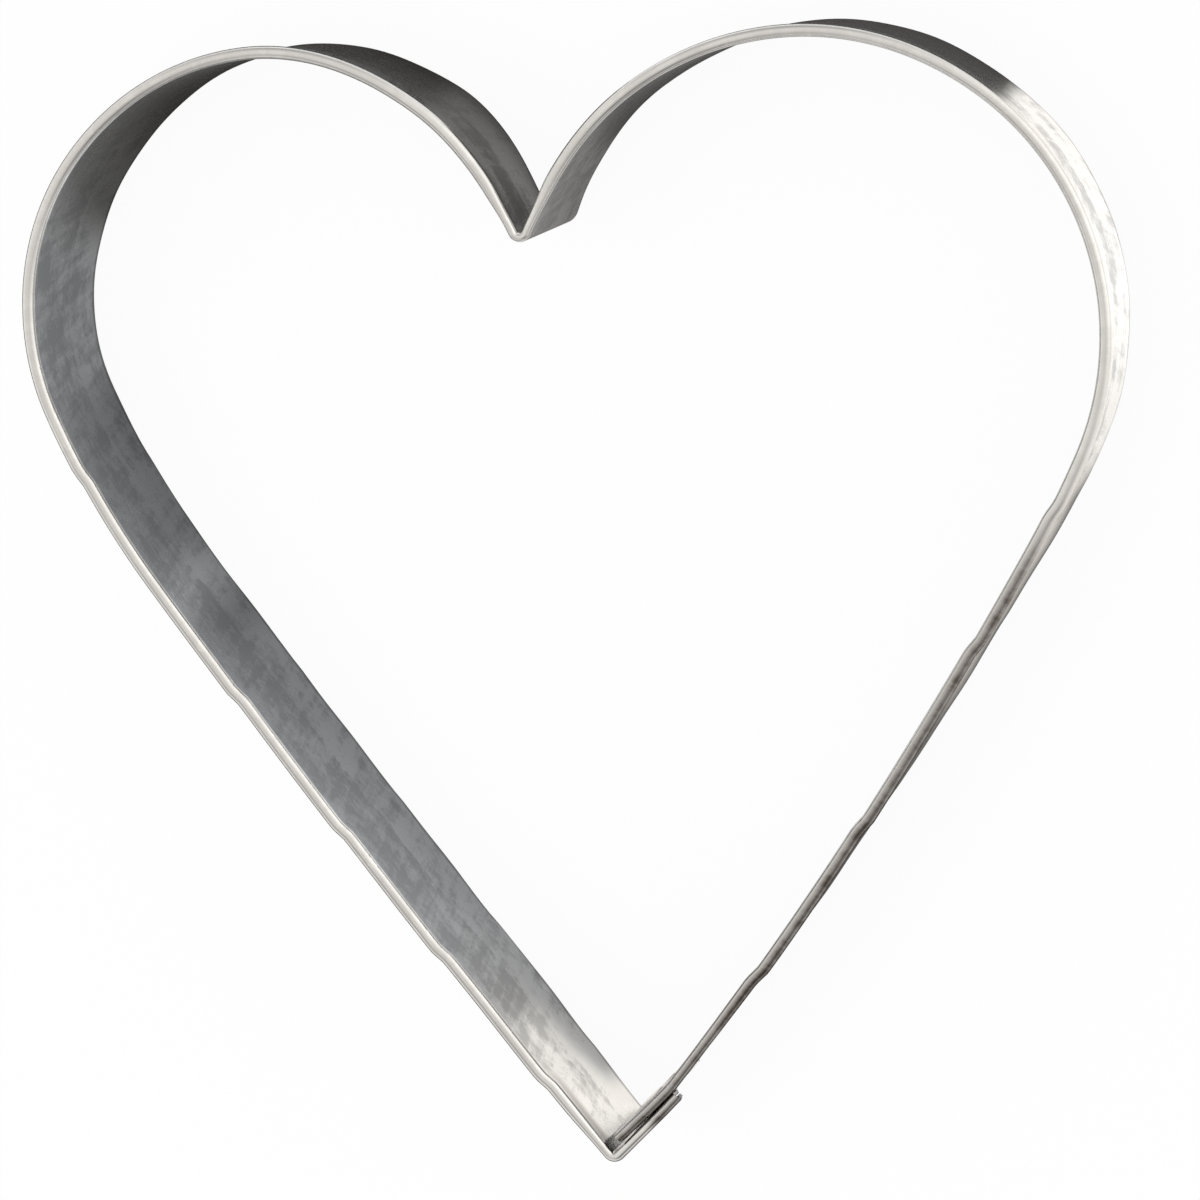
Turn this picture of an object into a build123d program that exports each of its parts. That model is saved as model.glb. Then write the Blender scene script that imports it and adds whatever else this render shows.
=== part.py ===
from build123d import *
import math
import os

# Heart-shaped cookie cutter, in millimetres, with +Z up.
# It is one strip of thin steel sheet. The strip's upper edge is folded outwards
# into a hem, which makes the blunt rim that the hand presses on, and its lower
# edge is the bare cutting edge. The strip runs up the right side of the heart
# from the tip, over the right lobe, round the notch, over the left lobe and down
# to the tip again. There it turns the corner and laps outside its own beginning,
# and two spot welds hold the lap shut.
# The cutter stands on its cutting edge, with the middle of its box over the origin.

# Strip
sheet = 0.4
band_height = 20.4
rim_width = 1.2
hem_depth = 4.7
hem_edge_gap = 0.1

# Heart outline, on the middle of the sheet. Each half is a run from the tip that is
# bowed a little outwards, a wide shoulder arc, the lobe, and a flatter arc that
# drops to the notch.
notch_height = 82.1
notch_left_of_tip = 6.4
notch_inside_radius = 0.4

# A lobe's middle lies below the notch by an angle, and its circle clears the notch
right_lobe_radius = 26.8
right_lobe_clear_of_notch = 0.45
right_lobe_drop_angle = 13.75
right_shoulder_radius = 80.2
right_shoulder_turn = 6.2
right_run_bow_radius = 428
right_notch_arc_flatter_by = 3.0

left_lobe_radius = 22.8
left_lobe_clear_of_notch = 0.87
left_lobe_drop_angle = 8.95
left_shoulder_radius = 80.0
left_shoulder_turn = 12.85
left_run_bow_radius = 930
left_notch_arc_flatter_by = 7.15

# Lap at the tip
tip_inside_radius = 0.2
tip_end_gap = 0.2
lap_length = 7.4
lap_gap = 0.1

# Spot welds, each in a dimple that the welding tip pressed into the lap
weld_radius = 1.2
dimple_floor_radius = 1.5
dimple_mouth_radius = 2.0
dimple_gap = 0.05
weld_along_lap = 3.9
weld_heights = {"spot_weld_lower": 4.4, "spot_weld_upper": 11.0}

tip = Vector(0, 0)
notch = Vector(-notch_left_of_tip, notch_height)
rim_reach = rim_width - sheet / 2
notch_bend_radius = rim_reach + notch_inside_radius
tip_bend_radius = sheet / 2 + tip_inside_radius


def strip_profile():
    """The strip's section: X outwards from the middle of the wall, Y up."""
    half_sheet = sheet / 2
    fold_outer = rim_width / 2
    fold_inner = fold_outer - sheet
    fold_x = fold_outer - half_sheet
    fold_y = band_height - fold_outer
    leaf_length = hem_depth - fold_outer
    # The leaf leans in until its raw edge nearly meets the wall
    closing = 2 * fold_inner - hem_edge_gap
    leaf_lean = math.asin(closing / leaf_length)
    leaf_down = Vector(-math.sin(leaf_lean), -math.cos(leaf_lean))
    leaf_out = Vector(math.cos(leaf_lean), -math.sin(leaf_lean))
    fold = Vector(fold_x, fold_y)
    outer_top = fold + leaf_out * fold_outer
    inner_top = fold + leaf_out * fold_inner
    outline = [
        Line((-half_sheet, 0), (half_sheet, 0)),
        Line((half_sheet, 0), (half_sheet, fold_y)),
        ThreePointArc((half_sheet, fold_y), (fold_x, fold_y + fold_inner), inner_top),
        Line(inner_top, inner_top + leaf_down * leaf_length),
        Line(inner_top + leaf_down * leaf_length, outer_top + leaf_down * leaf_length),
        Line(outer_top + leaf_down * leaf_length, outer_top),
        ThreePointArc(outer_top, (fold_x, band_height), (-half_sheet, fold_y)),
        Line((-half_sheet, fold_y), (-half_sheet, 0)),
    ]
    return make_face(Wire(outline))


def section_at(place, heading):
    """The strip's section, set square across the outline where it passes a point."""
    outward = Vector(heading.Y, -heading.X)
    return Plane(origin=place, x_dir=outward, z_dir=-heading) * strip_profile()


def curved_strip(centre, start, end, turn):
    """The strip round an arc: turn is 1 to the left and -1 to the right."""
    arm = start - centre
    heading = (Vector(-arm.Y, arm.X) * turn).normalized()
    swing = math.atan2(end.Y - centre.Y, end.X - centre.X) - math.atan2(arm.Y, arm.X)
    angle = math.degrees(swing * turn) % 360
    return revolve(section_at(start, heading), Axis(centre, (0, 0, turn)), angle)


def circles_meet(centre_a, radius_a, centre_b, radius_b, side):
    """Where two circles cross: side 1 is left of the way from a to b, -1 is right."""
    between = centre_b - centre_a
    gap = between.length
    along = (radius_a**2 - radius_b**2 + gap**2) / (2 * gap)
    off = math.sqrt(radius_a**2 - along**2)
    ahead = between.normalized()
    left = Vector(-ahead.Y, ahead.X)
    return centre_a + ahead * along + left * (off * side)


def turned(arm, angle):
    """An arm turned to the left by an angle in radians."""
    across = Vector(-arm.Y, arm.X)
    return arm * math.cos(angle) + across * math.sin(angle)


class HalfHeart:
    """One half of the outline: side is 1 on the right and -1 on the left."""

    def __init__(self, side, lobe_radius, clear, drop, shoulder_radius, turn, bow_radius, flatter_by):
        across = math.cos(math.radians(drop)) * side
        down = math.sin(math.radians(drop))
        turn = math.radians(turn)
        self.lobe = notch + Vector(across, -down) * (lobe_radius + clear)
        # The shoulder rolls from the bowed run onto the lobe, which fixes how far the
        # middle of the bow lies from the lobe's middle. The bow also meets the tip.
        lobe_step = shoulder_radius - lobe_radius
        bow_step = bow_radius - shoulder_radius
        ahead = bow_step + lobe_step * math.cos(turn)
        aside = lobe_step * math.sin(turn)
        self.bow_radius = bow_radius
        self.bow = circles_meet(self.lobe, math.hypot(ahead, aside), tip, bow_radius, -side)
        way = (self.lobe - self.bow).normalized()
        run_outward = turned(way, -side * math.atan2(aside, ahead))
        lobe_outward = turned(run_outward, side * turn)
        self.run_end = self.bow + run_outward * bow_radius
        self.shoulder_end = self.lobe + lobe_outward * lobe_radius
        self.shoulder = self.shoulder_end - lobe_outward * shoulder_radius
        self.outward = (tip - self.bow).normalized()
        # The notch arc passes through the notch and rolls inside onto the lobe
        self.notch_arc_radius = lobe_radius + flatter_by
        self.notch_arc = circles_meet(self.lobe, flatter_by, notch, self.notch_arc_radius, side)
        inward_part = (self.lobe - self.notch_arc).normalized()
        self.lobe_end = self.notch_arc + inward_part * self.notch_arc_radius


right = HalfHeart(
    1,
    right_lobe_radius,
    right_lobe_clear_of_notch,
    right_lobe_drop_angle,
    right_shoulder_radius,
    right_shoulder_turn,
    right_run_bow_radius,
    right_notch_arc_flatter_by,
)
left = HalfHeart(
    -1,
    left_lobe_radius,
    left_lobe_clear_of_notch,
    left_lobe_drop_angle,
    left_shoulder_radius,
    left_shoulder_turn,
    left_run_bow_radius,
    left_notch_arc_flatter_by,
)

# The notch is bent round a small circle that rests on both notch arcs
notch_bend = circles_meet(
    right.notch_arc,
    right.notch_arc_radius + notch_bend_radius,
    left.notch_arc,
    left.notch_arc_radius + notch_bend_radius,
    -1,
)


def bend_joint(half):
    """Where the notch bend leaves a half's notch arc."""
    return half.notch_arc + (notch_bend - half.notch_arc).normalized() * half.notch_arc_radius


right_joint = bend_joint(right)
left_joint = bend_joint(left)

# The lap runs outside the right run, one rim and a small gap away from it, and the
# tip is bent round a small circle inside both the lap and the left run
lap_offset = rim_width + lap_gap
lap_radius = right.bow_radius + lap_offset
tip_bend = circles_meet(
    right.bow,
    lap_radius - tip_bend_radius,
    left.bow,
    left.bow_radius - tip_bend_radius,
    -1,
)
left_run_foot = left.bow + (tip_bend - left.bow).normalized() * left.bow_radius
lap_start = right.bow + (tip_bend - right.bow).normalized() * lap_radius


def along_lap(distance):
    """The point on the lap at a distance from where it leaves the tip bend."""
    return right.bow + turned(lap_start - right.bow, distance / lap_radius)


# The strip begins just clear of the left run's inner face
corner_angle = math.acos(-right.outward.dot(left.outward))
begin_along = (sheet / 2 + tip_end_gap) / math.sin(corner_angle) + sheet / 2 / math.tan(corner_angle)
strip_begin = right.bow + turned(tip - right.bow, begin_along / right.bow_radius)


def bent_strip():
    """The whole strip, one stretch after another along the outline."""
    stretches = [
        curved_strip(right.bow, strip_begin, right.run_end, 1),
        curved_strip(right.shoulder, right.run_end, right.shoulder_end, 1),
        curved_strip(right.lobe, right.shoulder_end, right.lobe_end, 1),
        curved_strip(right.notch_arc, right.lobe_end, right_joint, 1),
        curved_strip(notch_bend, right_joint, left_joint, -1),
        curved_strip(left.notch_arc, left_joint, left.lobe_end, 1),
        curved_strip(left.lobe, left.lobe_end, left.shoulder_end, 1),
        curved_strip(left.shoulder, left.shoulder_end, left.run_end, 1),
        curved_strip(left.bow, left.run_end, left_run_foot, 1),
        curved_strip(tip_bend, left_run_foot, lap_start, 1),
        curved_strip(right.bow, lap_start, along_lap(lap_length), 1),
    ]
    return stretches[0].fuse(*stretches[1:])


def weld_plane(height):
    """A plane on the lap's outer face at a weld, facing in towards the heart."""
    middle = along_lap(weld_along_lap)
    outward = (middle - right.bow).normalized()
    place = middle + outward * (sheet / 2)
    return Plane(
        origin=(place.X, place.Y, height),
        x_dir=Vector(-outward.Y, outward.X),
        z_dir=-outward,
    )


# The dimple's floor stops just short of the wall that it is welded to
dimple_depth = lap_offset - sheet - dimple_gap
inner_wall_back = lap_offset + sheet


def frustum(plane, mouth_radius, floor_radius, depth):
    """A tapered plug that reaches in from a plane."""
    mouth = plane * Circle(mouth_radius)
    floor = plane.offset(depth) * Circle(floor_radius)
    return loft([mouth, floor])


def dimple_outside(height):
    """The sheet of a dimple, before its hollow is cut."""
    plane = weld_plane(height)
    return frustum(plane, dimple_mouth_radius + sheet, dimple_floor_radius + sheet, dimple_depth + sheet)


def dimple_hollow(height):
    """The space that the welding tip left in a dimple."""
    return frustum(weld_plane(height), dimple_mouth_radius, dimple_floor_radius, dimple_depth)


def weld_nugget(height):
    """A weld: the melted plug through the dimple's floor and the wall behind it."""
    plane = weld_plane(height).offset(dimple_depth)
    return extrude(plane * Circle(weld_radius), amount=inner_wall_back - dimple_depth)


nuggets = {name: weld_nugget(height) for name, height in weld_heights.items()}
band = bent_strip()
for height in weld_heights.values():
    band = band + dimple_outside(height) - dimple_hollow(height)
for nugget in nuggets.values():
    band = band - nugget

# The middle of the cutter's box goes over the origin
box = band.bounding_box()
to_origin = Location((-box.center().X, -box.center().Y, 0))

os.makedirs("parts", exist_ok=True)
export_step(to_origin * band, "parts/cutter_band.step")
for name, nugget in nuggets.items():
    export_step(to_origin * nugget, f"parts/{name}.step")
print("box", box.size, "outline shift", to_origin.position, "volume", band.volume)
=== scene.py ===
# %% [markdown]
# # A heart-shaped cookie cutter
# The cutter is one strip of thin steel. Its top edge is folded over into a hem, its
# bottom edge cuts, and its ends lap at the tip, where two spot welds hold them. The
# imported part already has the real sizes. This lesson dresses it: the strip is made
# again as a fine mesh that can carry dents, streaks and hand-bent unevenness, then it
# gets its steel, a place to stand, soft light and the camera.

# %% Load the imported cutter
import math

import bpy
import numpy as np
from mathutils import Euler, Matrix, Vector


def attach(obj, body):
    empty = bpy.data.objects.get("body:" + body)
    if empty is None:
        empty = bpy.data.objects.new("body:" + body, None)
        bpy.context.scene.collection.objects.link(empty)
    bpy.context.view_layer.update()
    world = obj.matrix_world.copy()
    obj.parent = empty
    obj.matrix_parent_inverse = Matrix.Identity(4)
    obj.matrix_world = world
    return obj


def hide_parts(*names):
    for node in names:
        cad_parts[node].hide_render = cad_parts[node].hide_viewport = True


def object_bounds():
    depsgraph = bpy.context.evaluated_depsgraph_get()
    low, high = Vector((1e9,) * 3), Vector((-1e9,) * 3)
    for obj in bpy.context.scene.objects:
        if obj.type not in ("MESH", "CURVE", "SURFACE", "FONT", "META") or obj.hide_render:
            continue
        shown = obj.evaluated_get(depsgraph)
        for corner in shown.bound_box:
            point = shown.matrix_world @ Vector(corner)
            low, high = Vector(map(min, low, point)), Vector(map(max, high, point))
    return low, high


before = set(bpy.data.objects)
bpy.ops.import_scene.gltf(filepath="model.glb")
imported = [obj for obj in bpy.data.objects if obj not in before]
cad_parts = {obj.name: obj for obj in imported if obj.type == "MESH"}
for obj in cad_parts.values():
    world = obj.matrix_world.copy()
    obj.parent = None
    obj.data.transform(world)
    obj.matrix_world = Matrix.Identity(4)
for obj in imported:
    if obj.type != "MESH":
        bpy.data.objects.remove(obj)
packed_low, packed_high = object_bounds()
print("packed box in mm:", [round(1000 * side, 2) for side in packed_high - packed_low])

# %% [markdown]
# ## Sizes
# Blender works in metres, so millimetre sizes are multiplied by one factor. These are
# the strip's own sizes. They are the solid part's, so that the two stay in step, apart
# from the notch, which is bent a little sharper here, as it is on the real cutter.

# %% The strip's sizes
MM = 0.001
SHEET = 0.4 * MM
BAND_HEIGHT = packed_high.z
RIM_WIDTH = 1.2 * MM
HEM_DEPTH = 4.7 * MM
HEM_EDGE_GAP = 0.1 * MM
RIM_REACH = RIM_WIDTH - SHEET / 2
LAP_OFFSET = RIM_WIDTH + 0.1 * MM
LAP_LENGTH = 7.4 * MM
WELD_ALONG_LAP = 3.9 * MM
NOTCH_BEND_RADIUS = 0.95 * MM
TIP_BEND_RADIUS = SHEET / 2 + 0.2 * MM
TIP_END_GAP = 0.2 * MM

# %% [markdown]
# ## The heart's outline
# Seen from above, the sheet follows a chain of arcs. Each half of the heart is a run
# from the tip that bows a little outwards, a shoulder arc, the lobe, and a flatter arc
# down to the notch. It could be drawn by hand as a free curve, but arcs that touch need
# only a few sizes, and these are the solid part's. A point of the plan is one
# complex number, x + iy, because turning a direction is then a single multiplication:
# times 1j is a quarter turn to the left.


# %% Where two circles cross
def circles_meet(a, radius_a, b, radius_b, side):
    """The crossing of two circles on one side of the way from a to b: 1 is left."""
    gap = abs(b - a)
    along = (radius_a**2 - radius_b**2 + gap**2) / (2 * gap)
    off = math.sqrt(radius_a**2 - along**2)
    return a + (b - a) / gap * (along + 1j * side * off)


def turned(angle):
    """The number that turns a direction to the left by an angle."""
    return complex(math.cos(angle), math.sin(angle))


# %% One half of the heart
NOTCH = (-6.4 + 82.1j) * MM
TIP = 0j


def half_heart(side, lobe_radius, clear, drop, shoulder_radius, turn, bow_radius, flatter_by):
    """Arc centres and joints of one half: side is 1 on the right, -1 on the left.

    The lobe's middle lies below the notch by the drop angle. The shoulder arc rolls
    from the bowed run onto the lobe, which fixes how far the bow's middle is from the
    lobe's middle, and the bow also passes through the tip.
    """
    lobe = NOTCH + (lobe_radius + clear) * (side * math.cos(drop) - 1j * math.sin(drop))
    ahead = bow_radius - shoulder_radius + (shoulder_radius - lobe_radius) * math.cos(turn)
    aside = (shoulder_radius - lobe_radius) * math.sin(turn)
    bow = circles_meet(lobe, math.hypot(ahead, aside), TIP, bow_radius, -side)
    run_outward = (lobe - bow) / abs(lobe - bow) * turned(-side * math.atan2(aside, ahead))
    lobe_outward = run_outward * turned(side * turn)
    shoulder_end = lobe + lobe_outward * lobe_radius
    arc_radius = lobe_radius + flatter_by
    notch_arc = circles_meet(lobe, flatter_by, NOTCH, arc_radius, side)
    return {
        "bow": bow,
        "bow_radius": bow_radius,
        "outward": (TIP - bow) / bow_radius,
        "run_end": bow + run_outward * bow_radius,
        "shoulder": shoulder_end - lobe_outward * shoulder_radius,
        "shoulder_end": shoulder_end,
        "lobe": lobe,
        "lobe_end": notch_arc + (lobe - notch_arc) / abs(lobe - notch_arc) * arc_radius,
        "notch_arc": notch_arc,
        "arc_radius": arc_radius,
    }


right = half_heart(
    side=1,
    lobe_radius=26.8 * MM,
    clear=0.45 * MM,
    drop=math.radians(13.75),
    shoulder_radius=80.2 * MM,
    turn=math.radians(6.2),
    bow_radius=428 * MM,
    flatter_by=3 * MM,
)
left = half_heart(
    side=-1,
    lobe_radius=22.8 * MM,
    clear=0.87 * MM,
    drop=math.radians(8.95),
    shoulder_radius=80 * MM,
    turn=math.radians(12.85),
    bow_radius=930 * MM,
    flatter_by=7.15 * MM,
)
print("middles of the lobes in mm:", np.round([right["lobe"] / MM, left["lobe"] / MM], 1))

# %% The notch bend, the tip bend and the lap
notch_bend = circles_meet(
    right["notch_arc"],
    right["arc_radius"] + NOTCH_BEND_RADIUS,
    left["notch_arc"],
    left["arc_radius"] + NOTCH_BEND_RADIUS,
    -1,
)
lap_radius = right["bow_radius"] + LAP_OFFSET
tip_bend = circles_meet(
    right["bow"],
    lap_radius - TIP_BEND_RADIUS,
    left["bow"],
    left["bow_radius"] - TIP_BEND_RADIUS,
    -1,
)


def on_circle(centre, radius, towards):
    """The point of a circle that lies on the way from its centre to another point."""
    return centre + (towards - centre) / abs(towards - centre) * radius


right_joint = on_circle(right["notch_arc"], right["arc_radius"], notch_bend)
left_joint = on_circle(left["notch_arc"], left["arc_radius"], notch_bend)
left_foot = on_circle(left["bow"], left["bow_radius"], tip_bend)
lap_start = on_circle(right["bow"], lap_radius, tip_bend)
lap_end = right["bow"] + (lap_start - right["bow"]) * turned(LAP_LENGTH / lap_radius)
corner_angle = math.acos(-(right["outward"] * left["outward"].conjugate()).real)
begin_along = (SHEET / 2 + TIP_END_GAP) / math.sin(corner_angle)
begin_along = begin_along + SHEET / 2 / math.tan(corner_angle)
begin = right["bow"] + (TIP - right["bow"]) * turned(begin_along / right["bow_radius"])
print("corner at the tip in degrees:", round(math.degrees(corner_angle), 1))

# %% [markdown]
# ## Walking along the outline
# Every stretch is an arc about a centre that turns left (1) or right (-1). A curve
# object would give the places along it. The unevenness and the steel also need the
# outward direction and the distance walked at each place, so a stretch is sampled into
# three arrays. Tight bends and the lap get close samples, and long runs get wide ones.

# %% Sample the chain of arcs
LEFT_TURN = 1
RIGHT_TURN = -1
stretches = [
    (right["bow"], begin, right["run_end"], LEFT_TURN, 120),
    (right["shoulder"], right["run_end"], right["shoulder_end"], LEFT_TURN, 12),
    (right["lobe"], right["shoulder_end"], right["lobe_end"], LEFT_TURN, 96),
    (right["notch_arc"], right["lobe_end"], right_joint, LEFT_TURN, 20),
    (notch_bend, right_joint, left_joint, RIGHT_TURN, 14),
    (left["notch_arc"], left_joint, left["lobe_end"], LEFT_TURN, 18),
    (left["lobe"], left["lobe_end"], left["shoulder_end"], LEFT_TURN, 88),
    (left["shoulder"], left["shoulder_end"], left["run_end"], LEFT_TURN, 20),
    (left["bow"], left["run_end"], left_foot, LEFT_TURN, 104),
    (tip_bend, left_foot, lap_start, LEFT_TURN, 10),
    (right["bow"], lap_start, lap_end, LEFT_TURN, 42),
]
NOTCH_BEND_STRETCH = 4
TIP_BEND_STRETCH = 9


def walk(centre, start, end, turn, steps):
    """An arc at even steps: places = centre + arm turned by a share of the angle.

    Returns the places, the outward directions, the distances and the full length.
    """
    arm = start - centre
    angle = (np.angle((end - centre) / arm) * turn) % (2 * math.pi)
    share = np.arange(steps) / steps
    arms = arm * np.exp(1j * turn * angle * share)
    length = angle * abs(arm)
    return centre + arms, turn * arms / abs(arm), share * length, length


walks = [walk(*stretch) for stretch in stretches]
starts = np.concatenate([[0], np.cumsum([length for _, _, _, length in walks])])
total_length = starts[-1]
place = np.concatenate([spots for spots, _, _, _ in walks] + [[lap_end]])
outward = np.concatenate(
    [ways for _, ways, _, _ in walks] + [[(lap_end - right["bow"]) / lap_radius]]
)
along = np.concatenate(
    [start + far for start, (_, _, far, _) in zip(starts, walks)] + [[total_length]]
)
rim_edge = place + outward * RIM_REACH
middle = complex(
    rim_edge.real.min() + rim_edge.real.max(), rim_edge.imag.min() + rim_edge.imag.max()
)
plan_shift = -middle / 2
print("strip length in mm:", round(total_length / MM, 1), "in", len(place), "steps")
print("shift to the box's middle in mm:", np.round(plan_shift / MM, 3))

# %% [markdown]
# ## Bent by hand and machine
# No such strip is a perfect shape. Its lobes bulge past their circles, its runs jump
# outwards at each bending step, its tip and notch are pinched, and its thin lower edge
# strays a millimetre or more from the hemmed one. A sculpting brush could push all of
# this into a smooth band. Tracks along the strip are used instead, a few values at
# chosen places that are eased from one to the next, because they can be read and
# changed one by one.


# %% Eased steps and tracks along the strip
def eased(value, low, high):
    """t * t * (3 - 2t), where t goes from 0 at low to 1 at high."""
    share = np.clip((value - low) / (high - low), 0, 1)
    return share**2 * (3 - 2 * share)


def eased_track(spots, values, at):
    """Values between spots: a + (b - a) * t * t * (3 - 2t), with t from 0 to 1."""
    spots = np.asarray(spots, float)
    values = np.asarray(values)
    index = np.clip(np.searchsorted(spots, at, side="right") - 1, 0, len(spots) - 2)
    share = np.clip((at - spots[index]) / (spots[index + 1] - spots[index]), 0, 1)
    return values[index] + (values[index + 1] - values[index]) * share**2 * (3 - 2 * share)


# Distance from the tip along each half, and the share of the way to the notch
notch_middle = (starts[NOTCH_BEND_STRETCH] + starts[NOTCH_BEND_STRETCH + 1]) / 2
tip_middle = (starts[TIP_BEND_STRETCH] + starts[TIP_BEND_STRETCH + 1]) / 2
on_right = along < notch_middle
on_lap = along > tip_middle
from_tip = np.where(on_right, along + begin_along, abs(tip_middle - along))
half_length = np.where(on_right | on_lap, notch_middle + begin_along, tip_middle - notch_middle)
share_to_notch = from_tip / half_length
print("halves in mm:", np.round([half_length[0] / MM, half_length[-1] / MM], 1))

# %% How far the rim bulges and the cutting edge strays
# The tracks are outwards and in millimetres. The corners also stray as a whole, by a
# step x + iy in millimetres that fades over a fifth of each half
TRACK_SHARES = [0, 0.1, 0.2, 0.32, 0.44, 0.56, 0.68, 0.8, 0.9, 1]
BULGE_RIGHT = [0, -0.03, 0.03, -0.05, 0.01, 0.15, 0.19, 0.41, 0.41, 0]
BULGE_LEFT = [0, 0.06, 0.16, 0.26, 0.35, 0.44, 0.65, 0.73, 0.02, 0]
STRAY_RIGHT = [-0.12, -0.2, -0.39, -0.28, -0.17, -0.37, -0.05, 0.65, -0.14, -0.66]
STRAY_LEFT = [0.58, 0.25, 0.04, -0.19, -0.23, 0.1, -0.33, 0.35, 0.21, -0.66]
TIP_STRAY = -0.46 + 0.27j
NOTCH_STRAY = -0.47 + 1.75j
CORNER_SHARE = 0.2
LAP_STRAY_RUN = 3.5 * MM


def side_track(right_values, left_values):
    """One eased track for each half of the heart, in metres."""
    return MM * np.where(
        on_right | on_lap,
        eased_track(TRACK_SHARES, right_values, share_to_notch),
        eased_track(TRACK_SHARES, left_values, share_to_notch),
    )


near_tip = eased_track([0, CORNER_SHARE], [1, 0], share_to_notch)
near_notch = eased_track([1 - CORNER_SHARE, 1], [0, 1], share_to_notch)
rim_bulge = side_track(BULGE_RIGHT, BULGE_LEFT)
stray = side_track(STRAY_RIGHT, STRAY_LEFT)
lap_stray = MM * eased_track([0, LAP_STRAY_RUN], [STRAY_LEFT[0], STRAY_RIGHT[0]], from_tip)
edge_stray = outward * np.where(on_lap, lap_stray, stray)
edge_stray = edge_stray + MM * (TIP_STRAY * near_tip + NOTCH_STRAY * near_notch)
print("largest stray of the cutting edge in mm:", round(abs(edge_stray).max() / MM, 2))

# %% The crimp at the tip
# The tip was squeezed inwards to make room for the lap, which leaves it close to the
# right run's line and ends almost one rim width outside it
RIGHT_CRIMP = 1.0 * MM
RIGHT_CRIMP_RUN = 8.2 * MM
TIP_CRIMP = 1.2 * MM
TIP_CRIMP_RUN = 20 * MM
LAP_END_CRIMP = 0.36 * MM
on_lap_at = along - starts[TIP_BEND_STRETCH + 1]
crimp_size = np.select(
    [on_right, on_lap_at >= 0, on_lap],
    [
        RIGHT_CRIMP * (1 - from_tip / RIGHT_CRIMP_RUN),
        TIP_CRIMP + (LAP_END_CRIMP - TIP_CRIMP) * on_lap_at / LAP_LENGTH,
        TIP_CRIMP,
    ],
    TIP_CRIMP * (1 - from_tip / TIP_CRIMP_RUN),
)
crimp = -right["outward"] * np.maximum(crimp_size, 0)

# %% The hem was squeezed flatter where the strip laps
HEM_SQUEEZE = 0.2
SQUEEZE_FADES_RIGHT = (8 * MM, 26 * MM)
SQUEEZE_FADES_LEFT = (0.5 * MM, 7 * MM)
squeeze_lost = np.where(
    on_right, eased(from_tip, *SQUEEZE_FADES_RIGHT), eased(from_tip, *SQUEEZE_FADES_LEFT)
)
reach_scale = 1 - HEM_SQUEEZE * np.where(on_lap, 1, 1 - squeeze_lost)

# %% The hem was pinched and pushed up at the notch, and the cutting edge stayed
NOTCH_SQUEEZE = 0.25
NOTCH_SQUEEZE_GROWS = (0.955, 0.985)
NOTCH_LIFT = 0.6j * MM
NOTCH_LIFT_FROM = 0.965
reach_scale = reach_scale - NOTCH_SQUEEZE * eased(share_to_notch, *NOTCH_SQUEEZE_GROWS)
notch_lift = NOTCH_LIFT * eased(share_to_notch, NOTCH_LIFT_FROM, 1)
rim_shift = crimp + notch_lift
edge_stray = edge_stray - notch_lift
print("narrowest hem, as a share of the full one:", round(reach_scale.min(), 2))

# %% The closed lap and the two cut ends
# The welds hold the lap against the wall behind it, below the hem. The lap's end was
# cut off slantwise, and the hem's beginning was cut back, out of the corner. Heights
# and the cut's steps are in millimetres
LAP_CLOSING = 0.58 * MM
LAP_CLOSED_FROM = 2.6 * MM
LAP_CLOSED_BELOW_RIM = (0.8 * HEM_DEPTH, 1.7 * HEM_DEPTH)
LAP_CUT_RUN = 2 * MM
LAP_CUT_HEIGHTS = [0, 13, 15.7, 20.4]
LAP_CUT_FORWARD = [-0.9, -0.9, -0.4, 0.4]
HEM_CUT_RUN = 5 * MM
HEM_CUT_HEIGHTS = [13, 17]
HEM_CUT_FORWARD = [0, 0.8]
heading = 1j * outward
lap_closing = LAP_CLOSING * eased(on_lap_at, 0, LAP_CLOSED_FROM)
lap_cut_share = eased(on_lap_at, LAP_LENGTH - LAP_CUT_RUN, LAP_LENGTH)
hem_cut_share = on_right * np.clip(1 - (from_tip - begin_along) / HEM_CUT_RUN, 0, 1)

# %% Jogs of the two runs
# At each bending step the rim jumps outwards, then drifts back until the next one.
# Places and runs are in millimetres from the tip, and the cutting edge jumps less
JOGS_RIGHT = [21.7, 39, 58.6, 73]
JOGS_LEFT = [9.8, 25.6, 40.3, 56.2, 81]
JOG = 0.25 * MM
JOG_RUN = 1.5
JOG_FADE = 16
JOG_LOST_AT_EDGE = 0.8


def jogs(spots, distance):
    """A saw along the strip: from -1/2 to 1/2 at each jog, and slowly back between."""
    knots, values = [0], [0]
    for spot in spots:
        knots += [spot - JOG_RUN / 2, spot + JOG_RUN / 2]
        values += [-0.5, 0.5]
    return np.interp(distance / MM, knots + [spots[-1] + JOG_FADE], values + [0])


jog = JOG * np.where(on_right, jogs(JOGS_RIGHT, from_tip), jogs(JOGS_LEFT, from_tip)) * ~on_lap
print("jogs:", len(JOGS_RIGHT), "on the right run,", len(JOGS_LEFT), "on the left")

# %% [markdown]
# ## The strip's section
# Cut across, the strip is a wall, a half-round fold and a leaf that leans back to the
# wall: the hem that makes the blunt rim. A curve object could carry such a profile by
# itself, but it would keep one profile all along, and here the hem is squeezed and the
# ends are cut. So the section is one line with the sheet's thickness on both sides.
# Each row is a point of that line with its outer direction. Both cut edges get a tiny
# bevel, because sharp sheet edges catch the light.

# %% Rows of the section
WALL_ROWS = 46
FOLD_ROWS = 12
LEAF_ROWS = 7
BEVEL = 0.09 * MM
EDGE_THINNING = 0.55

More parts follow.
